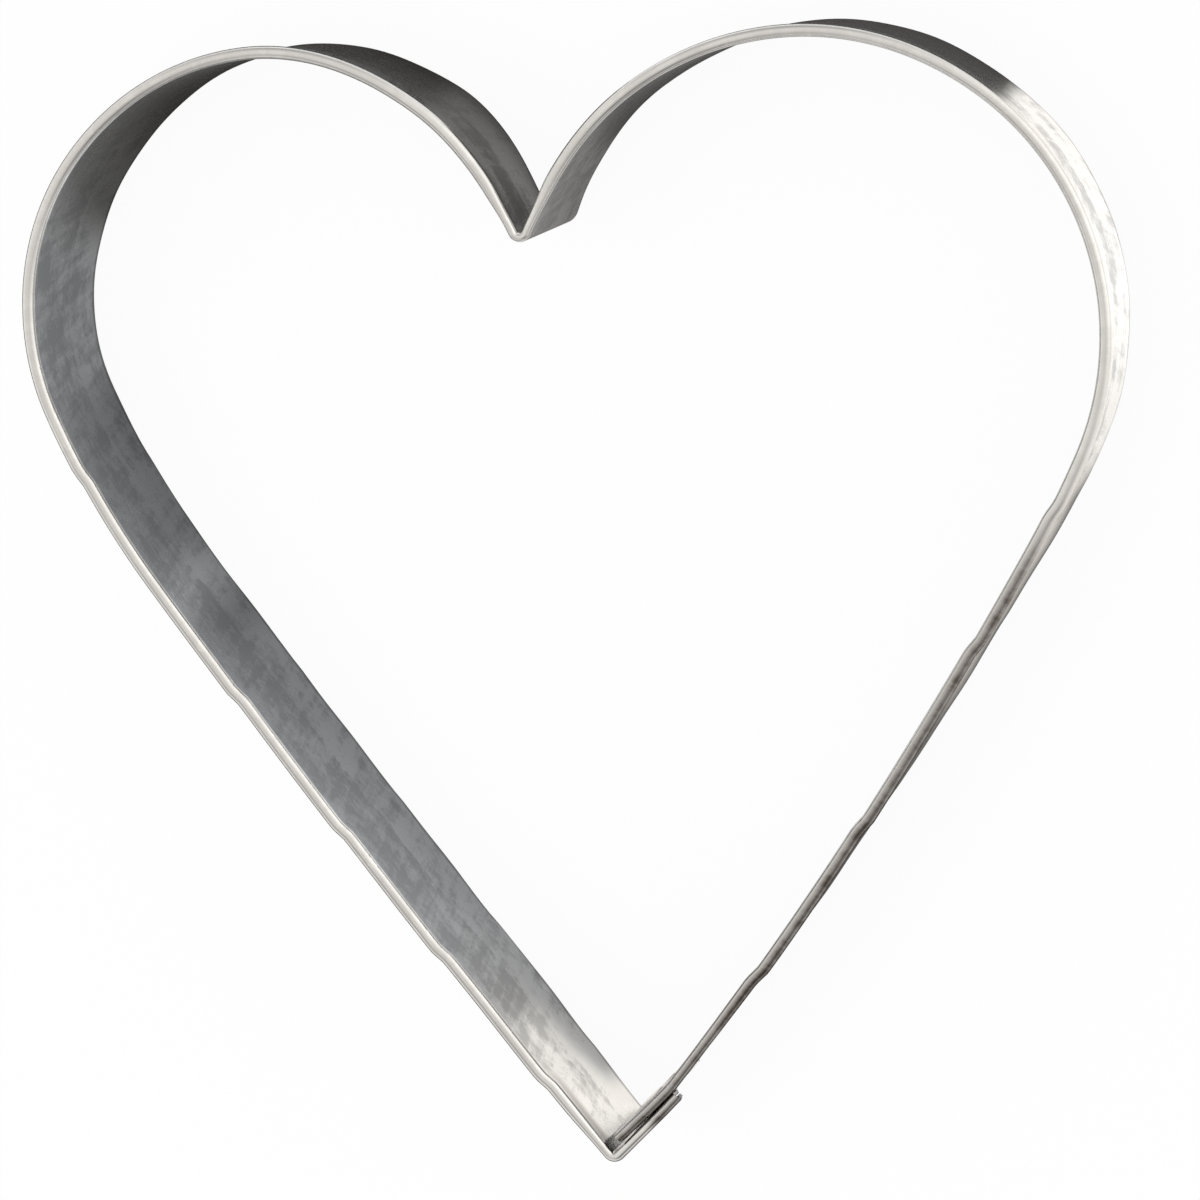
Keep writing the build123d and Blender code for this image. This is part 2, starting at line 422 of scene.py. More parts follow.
fold_outer = RIM_WIDTH / 2
fold_middle = fold_outer - SHEET / 2
fold_x = fold_outer - SHEET / 2
fold_z = BAND_HEIGHT - fold_outer
leaf_length = HEM_DEPTH - fold_outer
leaf_lean = math.asin((2 * (fold_outer - SHEET) - HEM_EDGE_GAP) / leaf_length)

wall_z = np.concatenate([[0], np.linspace(BEVEL, fold_z, WALL_ROWS)[:-1]])
fold_angle = np.linspace(math.pi, -leaf_lean, FOLD_ROWS)
leaf_down = np.concatenate([np.linspace(0, leaf_length - BEVEL, LEAF_ROWS)[1:], [leaf_length]])
leaf_start_x = fold_x + fold_middle * math.cos(leaf_lean)
leaf_start_z = fold_z - fold_middle * math.sin(leaf_lean)
row_x = np.concatenate(
    [
        np.zeros(len(wall_z)),
        fold_x + fold_middle * np.cos(fold_angle),
        leaf_start_x - leaf_down * math.sin(leaf_lean),
    ]
)
row_z = np.concatenate(
    [
        wall_z,
        fold_z + fold_middle * np.sin(fold_angle),
        leaf_start_z - leaf_down * math.cos(leaf_lean),
    ]
)
row_turn = np.concatenate(
    [np.full(len(wall_z), math.pi), fold_angle, np.full(len(leaf_down), -leaf_lean)]
)
row_half = np.full(len(row_x), SHEET / 2)
row_half[[0, -1]] *= EDGE_THINNING
row_across = np.concatenate([[0], np.cumsum(np.hypot(np.diff(row_x), np.diff(row_z)))])
row_is_wall = np.arange(len(row_x)) < len(wall_z)
print("rows:", len(row_x), "sheet width in mm:", round(row_across[-1] / MM, 2))

# %% [markdown]
# ## Weld dimples
# A spot welder's tip pressed the lap down onto the wall behind it, and the tip behind
# left a faint print inside. Dimples that a modifier cuts out would leave no sheet behind
# them. Here the sheet itself is pressed in: the depth is a function of the distance
# from a dimple's middle, full on the floor and eased to nothing at the mouth.

# %% The depth of the dimples at every step and row
WELD_HEIGHTS = {"spot_weld_lower": 4.4 * MM, "spot_weld_upper": 11 * MM}
DIMPLE_FLOOR = 1.4 * MM
DIMPLE_MOUTH = 2.25 * MM
DIMPLE_DEPTH = 0.63 * MM
PRINT_FLOOR = 1.2 * MM
PRINT_MOUTH = 1.6 * MM
PRINT_DEPTH = 0.05 * MM
weld_along = starts[TIP_BEND_STRETCH + 1] + WELD_ALONG_LAP
on_dimple = np.argmin(abs(along - weld_along))
shifted = place + rim_shift
on_print = np.argmin(np.where(on_right, abs(shifted - shifted[on_dimple]), np.inf))


def pressed(weld_at, floor, mouth):
    """1 on each weld's floor and 0 past its mouth: 1 - t * t * (3 - 2t) of the distance."""
    depth = np.zeros((len(along), len(row_across)))
    for height in WELD_HEIGHTS.values():
        far = np.hypot((along - weld_at)[:, None], (row_across - height)[None, :])
        depth = np.maximum(depth, 1 - eased(far, floor, mouth))
    return depth * row_is_wall


dimples = DIMPLE_DEPTH * pressed(weld_along, DIMPLE_FLOOR, DIMPLE_MOUTH)
prints = PRINT_DEPTH * pressed(along[on_print], PRINT_FLOOR, PRINT_MOUTH)
print("steps on the dimples and behind them:", on_dimple, on_print)

# %% [markdown]
# ## The fine mesh
# The section is carried along the outline, as the solid part's was, but each corner of
# this mesh can stray by itself, which is why the dressed band isn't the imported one. For
# every step and row, the point is the place, plus the outward direction times the row's
# reach, plus the unevenness. Quads join neighbours round the section, and a ladder of
# quads closes each cut end.

# %% Sweep the section along the outline
RIPPLES = [(0.035, 23, 0.4), (0.025, 13.7, 2.1), (0.015, 7.9, 4.4)]


def ripple(distance):
    """Faint waves along the strip: a sum of sines, each with a size, length and start."""
    return MM * sum(
        size * np.sin(2 * math.pi * distance / (length * MM) + start)
        for size, length, start in RIPPLES
    )


def unevenness(distance, bulge, jump, low_share):
    """How far a point lies outside the smooth outline.

    ripple * low share + bulge + jog * (1 - lost * low share), where the low share goes
    from 0 at the rim to 1 at the cutting edge.
    """
    return ripple(distance) * low_share + bulge + jump * (1 - JOG_LOST_AT_EDGE * low_share)


def swept(side):
    """Corners on one side of the sheet: 1 is the outer side of the fold, -1 the inner.

    plan = place + rim shift + outward * (row reach * squeeze + unevenness - the lap's
    closing or a dimple, whichever is deeper, + print) + the two ends' cuts along the
    heading + the stray of the cutting edge * low share. A grid of steps by rows.
    """
    reach = row_x + side * row_half * np.cos(row_turn)
    height = row_z + side * row_half * np.sin(row_turn)
    low_share = 1 - height / BAND_HEIGHT
    uneven = unevenness(from_tip[:, None], rim_bulge[:, None], jog[:, None], low_share)
    below_hem = eased(BAND_HEIGHT - height, *LAP_CLOSED_BELOW_RIM) * row_is_wall
    closed = np.maximum(lap_closing[:, None] * below_hem, dimples)
    out = reach_scale[:, None] * reach + uneven - closed + prints
    plan = (place + rim_shift + plan_shift)[:, None] + outward[:, None] * out
    hem_cut = MM * np.interp(height / MM, HEM_CUT_HEIGHTS, HEM_CUT_FORWARD)
    lap_cut = MM * np.interp(height / MM, LAP_CUT_HEIGHTS, LAP_CUT_FORWARD)
    plan = plan + (heading * hem_cut_share)[:, None] * hem_cut
    plan = plan + (heading * lap_cut_share)[:, None] * lap_cut
    plan = plan + edge_stray[:, None] * low_share
    return np.stack([plan.real, plan.imag, np.broadcast_to(height, plan.shape)], axis=-1)


def grid_faces(steps, ring):
    """Quads between each step and the next, all the way round the ring of corners."""
    first = np.arange(steps - 1)[:, None] * ring + np.arange(ring)[None, :]
    second = np.arange(steps - 1)[:, None] * ring + (np.arange(ring)[None, :] + 1) % ring
    return np.stack([first, second, second + ring, first + ring], axis=-1).reshape(-1, 4)


def end_faces(first_corner, rows):
    """The ladder of quads between the two sides of a cut end."""
    outer = first_corner + np.arange(rows)
    inner = first_corner + 2 * rows - 1 - np.arange(rows)
    return np.stack([outer[:-1], inner[:-1], inner[1:], outer[1:]], axis=-1)


# %% Turn arrays into a mesh object
def mesh_object(name, corners, faces):
    """A smooth-shaded mesh from an array of corners and one of quads or triangles."""
    mesh = bpy.data.meshes.new(name)
    mesh.vertices.add(len(corners))
    mesh.vertices.foreach_set("co", np.asarray(corners, np.float32).ravel())
    sides = faces.shape[1]
    mesh.loops.add(faces.size)
    mesh.loops.foreach_set("vertex_index", faces.ravel().astype(np.int32))
    mesh.polygons.add(len(faces))
    mesh.polygons.foreach_set("loop_start", np.arange(0, faces.size, sides, dtype=np.int32))
    mesh.update(calc_edges=True)
    mesh.validate()
    piece = bpy.data.objects.new(name, mesh)
    bpy.context.scene.collection.objects.link(piece)
    mesh.shade_smooth()
    return piece


def volume(corners, faces):
    """Signed volume: each quad's two triangles with the origin. Above 0 points outwards."""
    a, b, c, d = (corners[faces[:, k]] for k in range(4))
    cross = np.einsum("ij,ij->i", a, np.cross(b, c)) + np.einsum("ij,ij->i", a, np.cross(c, d))
    return cross.sum() / 6


def put_attribute(piece, name, values):
    """Keeps three numbers for every corner, which a material can read."""
    attribute = piece.data.attributes.new(name, "FLOAT_VECTOR", "POINT")
    attribute.data.foreach_set("vector", np.asarray(values, np.float32).ravel())


# %% The band
SHARP_ANGLE = math.radians(34)
rows = len(row_x)
ring = 2 * rows
corners = np.concatenate([swept(1), swept(-1)[:, ::-1]], axis=1).reshape(-1, 3)
last_step = (len(along) - 1) * ring
faces = np.concatenate(
    [grid_faces(len(along), ring), end_faces(0, rows), end_faces(last_step, rows)[:, ::-1]]
)
if volume(corners, faces) < 0:
    faces = faces[:, ::-1]
band = mesh_object("pressed_band", corners, faces)
band.data.set_sharp_from_angle(angle=SHARP_ANGLE)
ring_across = np.concatenate([row_across, row_across[::-1]])
ring_side = np.repeat([1.0, 0.0], rows)
strip_place = np.stack(
    [
        np.repeat(along, ring),
        np.tile(ring_across, len(along)),
        np.tile(ring_side, len(along)),
    ],
    axis=-1,
)
put_attribute(band, "strip_place", strip_place)
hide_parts("cutter_band")
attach(band, "root")
print("band volume in mm3:", round(volume(corners, faces) / MM**3), "faces", len(faces))

# %% [markdown]
# ## Spot welds
# Each weld is the melted plug through the dimple's floor and the wall behind. What
# shows is a dull disc in the dimple and a fainter one inside, each a little dished with
# a raised lip. A plain cylinder would have flat ends, so the plug is a profile turned
# round the weld's own axis, from the dimple's floor to the wall's inner face.

# %% Turn the welds
WELD_RADIUS = 1.2 * MM
WELD_PROUD = 0.03 * MM
WELD_DISH = 0.05 * MM
WELD_RINGS = 9
WELD_SEGMENTS = 40
SMALLEST_RING = 0.02


def wall_point(step, height, reach, pressed_out):
    """The plan point of the wall at a step and a height, by the same sum as swept()."""
    low_share = 1 - height / BAND_HEIGHT
    uneven = unevenness(from_tip[step], rim_bulge[step], jog[step], low_share)
    out = reach_scale[step] * reach + uneven + pressed_out
    plan = place[step] + rim_shift[step] + plan_shift + outward[step] * out
    return plan + edge_stray[step] * low_share


def weld_plug(height):
    """Corners of a plug: rings about the axis from the dimple's floor to the inner wall.

    An end's rise is proud - dish * (1 - r * r) with r from the middle to the side.
    """
    front = wall_point(on_dimple, height, SHEET / 2, -DIMPLE_DEPTH)
    back = wall_point(on_print, height, -SHEET / 2, PRINT_DEPTH)
    axis = -outward[on_dimple]
    length = ((back - front) * axis.conjugate()).real
    radii = np.linspace(SMALLEST_RING, 1, WELD_RINGS)
    rise = WELD_PROUD - WELD_DISH * (1 - radii**2)
    share = np.concatenate([radii, radii[::-1]]) * WELD_RADIUS
    depth = np.concatenate([-rise, length + rise[::-1]])
    angle = np.arange(WELD_SEGMENTS) / WELD_SEGMENTS * 2 * math.pi
    plan = front + axis * depth[None, :] + 1j * axis * np.outer(np.cos(angle), share)
    high = height + np.outer(np.sin(angle), share)
    plug = np.stack([plan.real, plan.imag, high], axis=-1)
    return plug.transpose(1, 0, 2).reshape(-1, 3)


def capped(plug):
    """A closed plug: its rings' quads, each cut in two, and a fan over both end rings.

    Returns the corners, with the two end middles as the last ones, and the triangles.
    """
    middles = [plug[:WELD_SEGMENTS].mean(axis=0), plug[-WELD_SEGMENTS:].mean(axis=0)]
    spoke = np.arange(WELD_SEGMENTS)
    after = (spoke + 1) % WELD_SEGMENTS
    front_middle = np.full(WELD_SEGMENTS, len(plug))
    last_ring = len(plug) - WELD_SEGMENTS
    front_fan = np.stack([front_middle, after, spoke], axis=-1)
    back_fan = np.stack([front_middle + 1, last_ring + spoke, last_ring + after], axis=-1)
    quads = grid_faces(2 * WELD_RINGS, WELD_SEGMENTS)
    halves = np.concatenate([quads[:, [0, 1, 2]], quads[:, [0, 2, 3]]])
    return np.concatenate([plug, middles]), np.concatenate([halves, front_fan, back_fan])


# %% The weld pieces
welds = []
for name, height in WELD_HEIGHTS.items():
    points, triangles = capped(weld_plug(height))
    # To volume(), a triangle is a quad whose last corner is its first
    if volume(points, np.concatenate([triangles, triangles[:, :1]], axis=1)) < 0:
        triangles = triangles[:, ::-1]
    weld = mesh_object(name.replace("spot_weld", "melted_weld"), points, triangles)
    weld.data.set_sharp_from_angle(angle=SHARP_ANGLE)
    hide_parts(name)
    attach(weld, "root")
    welds.append(weld)
print("welds:", [(weld.name, len(weld.data.polygons)) for weld in welds])

# %% [markdown]
# ## Shader maths in plain expressions
# A material is a small program made of nodes. Linked by hand, or one line of code for
# each node and link, its sums are hard to read. So one class wraps a socket, and an
# expression such as 0.3 + 0.2 * streak adds its Math nodes, and one method makes any
# other node from its type, its settings and what goes into its sockets.


# %% Sockets that do arithmetic, and recipes that hold nodes
class Signal:
    """A number that a node gives out. Each operator adds one Math node."""

    def __init__(self, recipe, socket):
        self.recipe = recipe
        self.socket = socket

    def maths(self, operation, other=0.0, clamp=False, swapped=False):
        """One Math node on this number and another, which comes first when swapped."""
        settings = {"operation": operation, "use_clamp": clamp}
        pair = (other, self) if swapped else (self, other)
        node = self.recipe.node("ShaderNodeMath", settings, dict(enumerate(pair)))
        return Signal(self.recipe, node.outputs[0])

    def __add__(self, other):
        return self.maths("ADD", other)

    __radd__ = __add__

    def __sub__(self, other):
        return self.maths("SUBTRACT", other)

    def __rsub__(self, other):
        return self.maths("SUBTRACT", other, swapped=True)

    def __mul__(self, other):
        return self.maths("MULTIPLY", other)

    __rmul__ = __mul__

    def most(self, other):
        """The larger of the two."""
        return self.maths("MAXIMUM", other)

    def least(self, other):
        """The smaller of the two."""
        return self.maths("MINIMUM", other)

    def step(self, low, high):
        """0 below low, 1 above high, eased between."""
        node = self.recipe.node(
            "ShaderNodeMapRange",
            {"interpolation_type": "SMOOTHSTEP"},
            {"Value": self, "From Min": low, "From Max": high},
        )
        return Signal(self.recipe, node.outputs["Result"])


class Recipe:
    """A material or world, and the nodes in it."""

    def __init__(self, owner):
        owner.use_nodes = True
        self.tree = owner.node_tree
        self.tree.nodes.clear()

    def node(self, kind, settings=None, sockets=None):
        """One node: its settings first, then values or links for its sockets."""
        node = self.tree.nodes.new(kind)
        for name, value in (settings or {}).items():
            setattr(node, name, value)
        for name, value in (sockets or {}).items():
            if isinstance(value, Signal):
                value = value.socket
            if isinstance(value, bpy.types.NodeSocket):
                self.tree.links.new(value, node.inputs[name])
            else:
                node.inputs[name].default_value = value
        return node

    def signal(self, kind, settings=None, sockets=None, output=0):
        """One node's output as a number for expressions."""
        return Signal(self, self.node(kind, settings, sockets).outputs[output])

    def noise(self, vector, scale, detail=2.0, roughness=0.5):
        """Soft noise around 0.5."""
        sockets = {"Vector": vector, "Scale": scale, "Detail": detail, "Roughness": roughness}
        return self.signal("ShaderNodeTexNoise", None, sockets)

    def stretched(self, vector, factors, offset=(0, 0, 0)):
        """A vector with each part scaled and moved, so that a pattern is drawn out."""
        sockets = {0: vector, 1: factors, 2: offset}
        node = self.node("ShaderNodeVectorMath", {"operation": "MULTIPLY_ADD"}, sockets)
        return node.outputs[0]

    def mixed(self, factor, first, second):
        """A colour between two colours."""
        node = self.node(
            "ShaderNodeMix", {"data_type": "RGBA"}, {"Factor": factor, 6: first, 7: second}
        )
        return node.outputs[2]

    def finish(self, shader):
        """The material's last node."""
        self.node("ShaderNodeOutputMaterial", None, {"Surface": shader.outputs[0]})


# %% [markdown]
# ## Sheet steel
# Rolled steel sheet is a mirror with very fine lengthwise lines. Years of dough and
# washing have clouded it: dull patches, hair scratches, small bright knocks, a rim
# polished by hands and brown stains on one run. Along the cutting edge it is darker and
# rougher. Some of its colour is painted light: streaks of painted reflection across the
# strip, a painted highlight under the rim, a painted reflection before the tip and
# painted shade under the rim near the tip. An image painted over the band would need a
# resolution; procedural patterns are sharp from any distance. They have to turn with the
# strip, so they read its own place, which the mesh carries: the distance along it, and
# the way across it from the cutting edge, up the wall, over the rim and down the hem's
# outer leaf.

# %% Patterns that are drawn out along or across the strip
# A grain is how fast a pattern changes along the strip, across it, both per metre, and
# from one side of the sheet to the other
LINE_GRAIN = (25, 2600, 40)
STREAK_GRAIN = (700, 70, 1)
STREAK_SLANT = 0.18
BAND_GRAIN = (120, 160, 20)
WANDER_GRAIN = (45, 0, 20)
SCRATCH_GRAIN = (160, 900, 60)


def strip_patterns(steel, strip, distance, across):
    """Rolling lines, streaks, bands and a wander: noises around 0.5, or 0 for the wander.

    Lines and bands run along the strip. The streaks are mirrored light, smeared square
    across the rolling lines: their place is distance - slant * across. The wander moves
    the limits of other marks.
    """
    lines = steel.noise(steel.stretched(strip, LINE_GRAIN), 1.0, 3.0, 0.6)
    slanted = {0: distance - STREAK_SLANT * across, 1: across}
    streak_place = steel.node("ShaderNodeCombineXYZ", None, slanted).outputs[0]
    streaks = steel.noise(steel.stretched(streak_place, STREAK_GRAIN), 1.0, 4.0, 0.62)
    bands = steel.noise(steel.stretched(strip, BAND_GRAIN, (5, 2, 0)), 1.0, 3.0, 0.6)
    wander = steel.noise(steel.stretched(strip, WANDER_GRAIN, (0, 8, 0)), 1.0, 1.0) - 0.5
    return lines, streaks, bands, wander


# %% Clouds, and small marks that lie in patches
CLOUD_SCALE = 190.0
BLOTCH_SCALE = 640.0
SPECK_SCALE = 2100.0
KNOCK_SCALE = 210.0
KNOCKED_PATCH_SCALE = 95.0
SCRATCHED_PATCH_SCALE = 60.0


def small_marks(steel, strip, spot):
    """Masks of small bright knocks and of hair scratches.

    A knock is the middle of a cell of the cell pattern. A scratch is where a noise that
    is drawn out along the strip passes 0.5.
    """
    cells = {"Vector": spot, "Scale": KNOCK_SCALE}
    knocks = 1 - steel.signal("ShaderNodeTexVoronoi", None, cells, "Distance").step(0.06, 0.13)
    knocks = knocks * steel.noise(spot, KNOCKED_PATCH_SCALE, 1.0).step(0.48, 0.58)
    field = steel.noise(steel.stretched(strip, SCRATCH_GRAIN, (3, 7, 1)), 1.0, 1.0)
    scratches = 1 - (field - 0.5).maths("ABSOLUTE").step(0.0, 0.014)
    scratches = scratches * steel.noise(spot, SCRATCHED_PATCH_SCALE, 1.0).step(0.46, 0.6)
    return knocks, scratches


# %% Where marks lie on the strip: pairs of limits, eased between
def past_rim(low, high):
    """Two limits across the strip, in millimetres past the top of the band."""
    return BAND_HEIGHT + low * MM, BAND_HEIGHT + high * MM


EDGE_LINE_ENDS = (0.35 * MM, 0.95 * MM)
SPLIT_LINE = (8.5 * MM, 9.1 * MM)
RIM_STARTS, RIM_ENDS = past_rim(-0.9, -0.35), past_rim(0.75, 1.5)
OUTER_RIM_STARTS, OUTER_RIM_ENDS = past_rim(-0.35, 0.15), past_rim(1.4, 2.2)
# The painted highlight just under the rim starts between these heights
UNDER_RIM_STARTS = past_rim(-3.2, -1.1)
# The painted shade on the wall under the rim near the tip starts between these heights
SHADE_UNDER_RIM_STARTS = past_rim(-3.4, -1.4)
STAINED_RUN_ENDS = (62 * MM, 76 * MM)
# From here the lap's end is darker brown on its outer rim
LAP_END_DARKENING_STARTS = (total_length - 4.2 * MM, total_length - 2.2 * MM)
# The painted reflection that brightens the wall before the tip starts between these distances
TIP_REFLECTION_STARTS = (tip_middle - 16 * MM, tip_middle - 7 * MM)
# The painted shade under the rim lies between these distances, near the tip
SHADE_NEAR_TIP_STARTS = (tip_middle - 14 * MM, tip_middle - 5 * MM)
SHADE_NEAR_TIP_ENDS = (tip_middle, tip_middle + 0.4 * MM)


def stain_and_shade_mask(distance, across, rim):
    """Brown stain and painted shade, from 0 to 1: the largest of three masks.

    It is a stain on the right run, mostly on the rim's outer half, a brown darkening of the
    outer rim at the lap's end, and painted shade on the wall under the rim near the tip.
    """
    outer_rim = across.step(*OUTER_RIM_STARTS) * (1 - across.step(*OUTER_RIM_ENDS))
    run = (1 - distance.step(*STAINED_RUN_ENDS)) * (0.25 + 0.75 * outer_rim)
    # The lap's end: its outer rim is made darker brown
    lap = distance.step(*LAP_END_DARKENING_STARTS) * outer_rim
    # Painted shade: the wall's top under the rim is made dark brown near the tip
    painted_shade_under_rim = distance.step(*SHADE_NEAR_TIP_STARTS) * (1 - distance.step(*SHADE_NEAR_TIP_ENDS))
    painted_shade_under_rim = painted_shade_under_rim * (1 - rim) * across.step(*SHADE_UNDER_RIM_STARTS)
    return run.most(lap).most(0.75 * painted_shade_under_rim)


# %% The band's steel
STEEL_COLOUR = (0.79, 0.795, 0.8, 1)
DULL_COLOUR = (0.47, 0.475, 0.48, 1)
EDGE_COLOUR = (0.26, 0.25, 0.25, 1)
POLISHED_COLOUR = (0.78, 0.765, 0.74, 1)
# Dark brown for the stains, and for the painted shade under the rim near the tip
STAIN_AND_SHADE_COLOUR = (0.13, 0.11, 0.095, 1)
BUMP_DISTANCE = 0.04 * MM


def metal(steel, colour, roughness, bump_strength, height):
    """The Principled shader of bare metal, with a bump."""
    bump_sockets = {"Strength": bump_strength, "Distance": BUMP_DISTANCE, "Height": height}
    bump = steel.node("ShaderNodeBump", None, bump_sockets)
    finish = {"Metallic": 1.0, "Roughness": roughness, "Normal": bump.outputs[0]}
    return steel.node("ShaderNodeBsdfPrincipled", None, {"Base Color": colour, **finish})


def sheet_steel():
    """Metallic all over; the marks change its colour, roughness and bump.

    The tone goes from 0, dull, to 1, bright: a weighted sum of patterns and places.
    """
    material = bpy.data.materials.new("rolled_sheet_steel")
    steel = Recipe(material)
    strip_place = steel.node("ShaderNodeAttribute", {"attribute_name": "strip_place"})
    strip = strip_place.outputs["Vector"]
    parts = steel.node("ShaderNodeSeparateXYZ", None, {0: strip})
    distance = Signal(steel, parts.outputs[0])
    across = Signal(steel, parts.outputs[1])
    spot = steel.node("ShaderNodeTexCoord").outputs["Object"]

    lines, streaks, bands, wander = strip_patterns(steel, strip, distance, across)
    clouds = steel.noise(spot, CLOUD_SCALE, 3.0, 0.62)
    blotches = steel.noise(spot, BLOTCH_SCALE, 3.0, 0.6)
    specks = steel.noise(spot, SPECK_SCALE, 2.0, 0.6)
    knocks, scratches = small_marks(steel, strip, spot)
    rim = across.step(*RIM_STARTS) * (1 - across.step(*RIM_ENDS))
    # Painted highlight: the wall is made lighter just under the rim, and the hem's leaf past it
    painted_highlight_under_rim = across.step(*UNDER_RIM_STARTS) * (1 - rim)
    uneven_across = across + 1.6 * MM * wander + 0.8 * MM * (clouds - 0.5)
    # A darker, rougher line along the cutting edge, of wandering width
    edge = 1 - uneven_across.step(*EDGE_LINE_ENDS)
    # The wall is made darker above about 8.8 mm from the cutting edge and lighter below
    split = (across + 1.2 * MM * wander).step(*SPLIT_LINE) - 0.5
    # Painted reflection: the steel is made brighter from a little before the tip, over the tip
    # and the lap
    painted_reflection_near_tip = distance.step(*TIP_REFLECTION_STARTS)
    stain_and_shade = stain_and_shade_mask(distance, across, rim)

    tone = (
        0.8 * clouds.step(0.28, 0.72)
        + 0.7 * bands.step(0.3, 0.7)
        # Painted reflection: streaks of mirrored light across the strip, put into the colour
        + 1.0 * streaks.step(0.28, 0.72)
        + 0.5 * blotches.step(0.28, 0.72)
        + 0.4 * specks.step(0.3, 0.7)
        - 0.55 * split
        # Painted highlight under the rim
        + 0.35 * painted_highlight_under_rim
        # Painted reflection near the tip
        + 0.6 * painted_reflection_near_tip
        - 1.15
    ).maths("ADD", clamp=True)
    colour = steel.mixed(tone, DULL_COLOUR, STEEL_COLOUR)
    colour = steel.mixed(edge * 0.75, colour, EDGE_COLOUR)
    shine = (0.8 * rim + 0.45 * scratches + 0.8 * knocks).least(1.0)
    colour = steel.mixed(shine, colour, POLISHED_COLOUR)
    # Brown stain, and painted shade under the rim near the tip, in one dark brown
    colour = steel.mixed(stain_and_shade * (0.65 + 0.3 * tone), colour, STAIN_AND_SHADE_COLOUR)
    roughness = 0.27 - 0.1 * tone + 0.08 * lines + 0.08 * blotches - 0.08 * rim + 0.1 * edge
    height = 0.6 * lines + 0.5 * clouds + 0.4 * blotches - 0.4 * scratches - 0.8 * knocks
    steel.finish(metal(steel, colour, roughness, 0.3, height))
    print("nodes in the sheet steel:", len(steel.tree.nodes))
    return material


band.data.materials.append(sheet_steel())

# %% [markdown]
# ## Weld steel
# Melted and cooled quickly, a weld is duller than the sheet, finely pitted, and tinted
# like straw by its own heat. One grey would do from afar. The lap is looked at closely,
# so its colour is a cloud between grey and straw, and the pits are a bump.


# %% The welds' steel
WELD_GREY = (0.5, 0.49, 0.48, 1)
WELD_STRAW = (0.42, 0.36, 0.3, 1)
WELD_CLOUD_SCALE = 900.0
WELD_PIT_SCALE = 6000.0


def weld_steel():
    """Dull metal: tinted clouds, and a fine pitted bump that also roughens it."""
    material = bpy.data.materials.new("melted_weld_steel")
    steel = Recipe(material)
    spot = steel.node("ShaderNodeTexCoord").outputs["Object"]
    clouds = steel.noise(spot, WELD_CLOUD_SCALE, 3.0)
    pits = steel.noise(spot, WELD_PIT_SCALE, 2.0)
    tint = steel.mixed(clouds.step(0.35, 0.65), WELD_GREY, WELD_STRAW)
    steel.finish(metal(steel, tint, 0.42 + 0.18 * pits, 0.5, pits))
    return material


weld_finish = weld_steel()
for weld in welds:
    weld.data.materials.append(weld_finish)

# %% [markdown]
# ## Floor
# The cutter stands on a plain pale sheet. White paint alone would look grey under this
# light, and more light would spoil the steel. So to the camera, and in the steel, the
# sheet shows as white, and only a share of its colour comes from the lamps. That share
# keeps the cutter's soft shadow.

# %% A pale floor
FLOOR_HALF = 1.2
FLOOR_LAMP_SHARE = 0.07
FLOOR_BELOW_EDGE = 0.03 * MM
PAPER_WHITE = (0.86, 0.86, 0.86, 1)
FULL_WHITE = (1, 1, 1, 1)
floor_corners = FLOOR_HALF * np.array([[-1, -1, 0], [1, -1, 0], [1, 1, 0], [-1, 1, 0]], float)
floor_corners[:, 2] = -FLOOR_BELOW_EDGE
floor = mesh_object("pale_floor", floor_corners, np.array([[0, 1, 2, 3]]))


def seen_rays(recipe):
    """1 for rays from the camera and those that metal or glass sends on, else 0."""
    light_path = recipe.node("ShaderNodeLightPath")
    camera, glossy, through = (
        Signal(recipe, light_path.outputs[name])
        for name in ("Is Camera Ray", "Is Glossy Ray", "Is Transmission Ray")
    )
    return camera.most(glossy).most(through)


def pale_floor():
    """Diffuse white, mixed with plain white light for the rays that see it."""
    material = bpy.data.materials.new("pale_floor_paper")
    paper = Recipe(material)
    matte = paper.node("ShaderNodeBsdfDiffuse", None, {"Color": PAPER_WHITE})
    white = paper.node("ShaderNodeEmission", None, {"Color": FULL_WHITE, "Strength": 1.0})
    share = seen_rays(paper) * (1 - FLOOR_LAMP_SHARE)
    shader = paper.node(
        "ShaderNodeMixShader", None, {0: share, 1: matte.outputs[0], 2: white.outputs[0]}
    )
    paper.finish(shader)
    return material


floor.data.materials.append(pale_floor())
print("floor in m:", 2 * FLOOR_HALF, "square")

# %% [markdown]
# ## The room that the steel mirrors
# Steel looks like what stands round it. The cutter was photographed in a light room
# that was darker below the picture, at its lower left and above it, and the rounded rim
# mirrors all of that. Lamps could make such a room, but they would light the floor too.
# So a dome card stands over the table, which only the steel sees: a light grey with a
# few soft spots.

# %% Tone of the room in a direction
# Each spot: bearing from +X and tilt from straight up, both in degrees, its width in
# degrees and its strength
ROOM_TONE = 0.88
ROOM_SPOTS = [
    (30, 76, 40, 0.6),
    (170, 85, 30, 0.15),
    (-66, 50, 28, -0.7),
    (-143, 50, 18, -0.5),
    (97, 80, 30, -0.5),
    (0, 5, 14, -0.12),
]


def room_tone(bearing, tilt):
    """Tone = base + sum of strength * exp(-(angle to the spot / width) squared)."""
    tone = np.full(np.broadcast(bearing, tilt).shape, ROOM_TONE)
    for spot_bearing, spot_tilt, width, strength in ROOM_SPOTS:
        spot_bearing, spot_tilt = math.radians(spot_bearing), math.radians(spot_tilt)
        closeness = np.sin(tilt) * math.sin(spot_tilt) * np.cos(bearing - spot_bearing)
        closeness = closeness + np.cos(tilt) * math.cos(spot_tilt)
        angle = np.arccos(np.clip(closeness, -1, 1))
        tone = tone + strength * np.exp(-((angle / math.radians(width)) ** 2))
    return tone


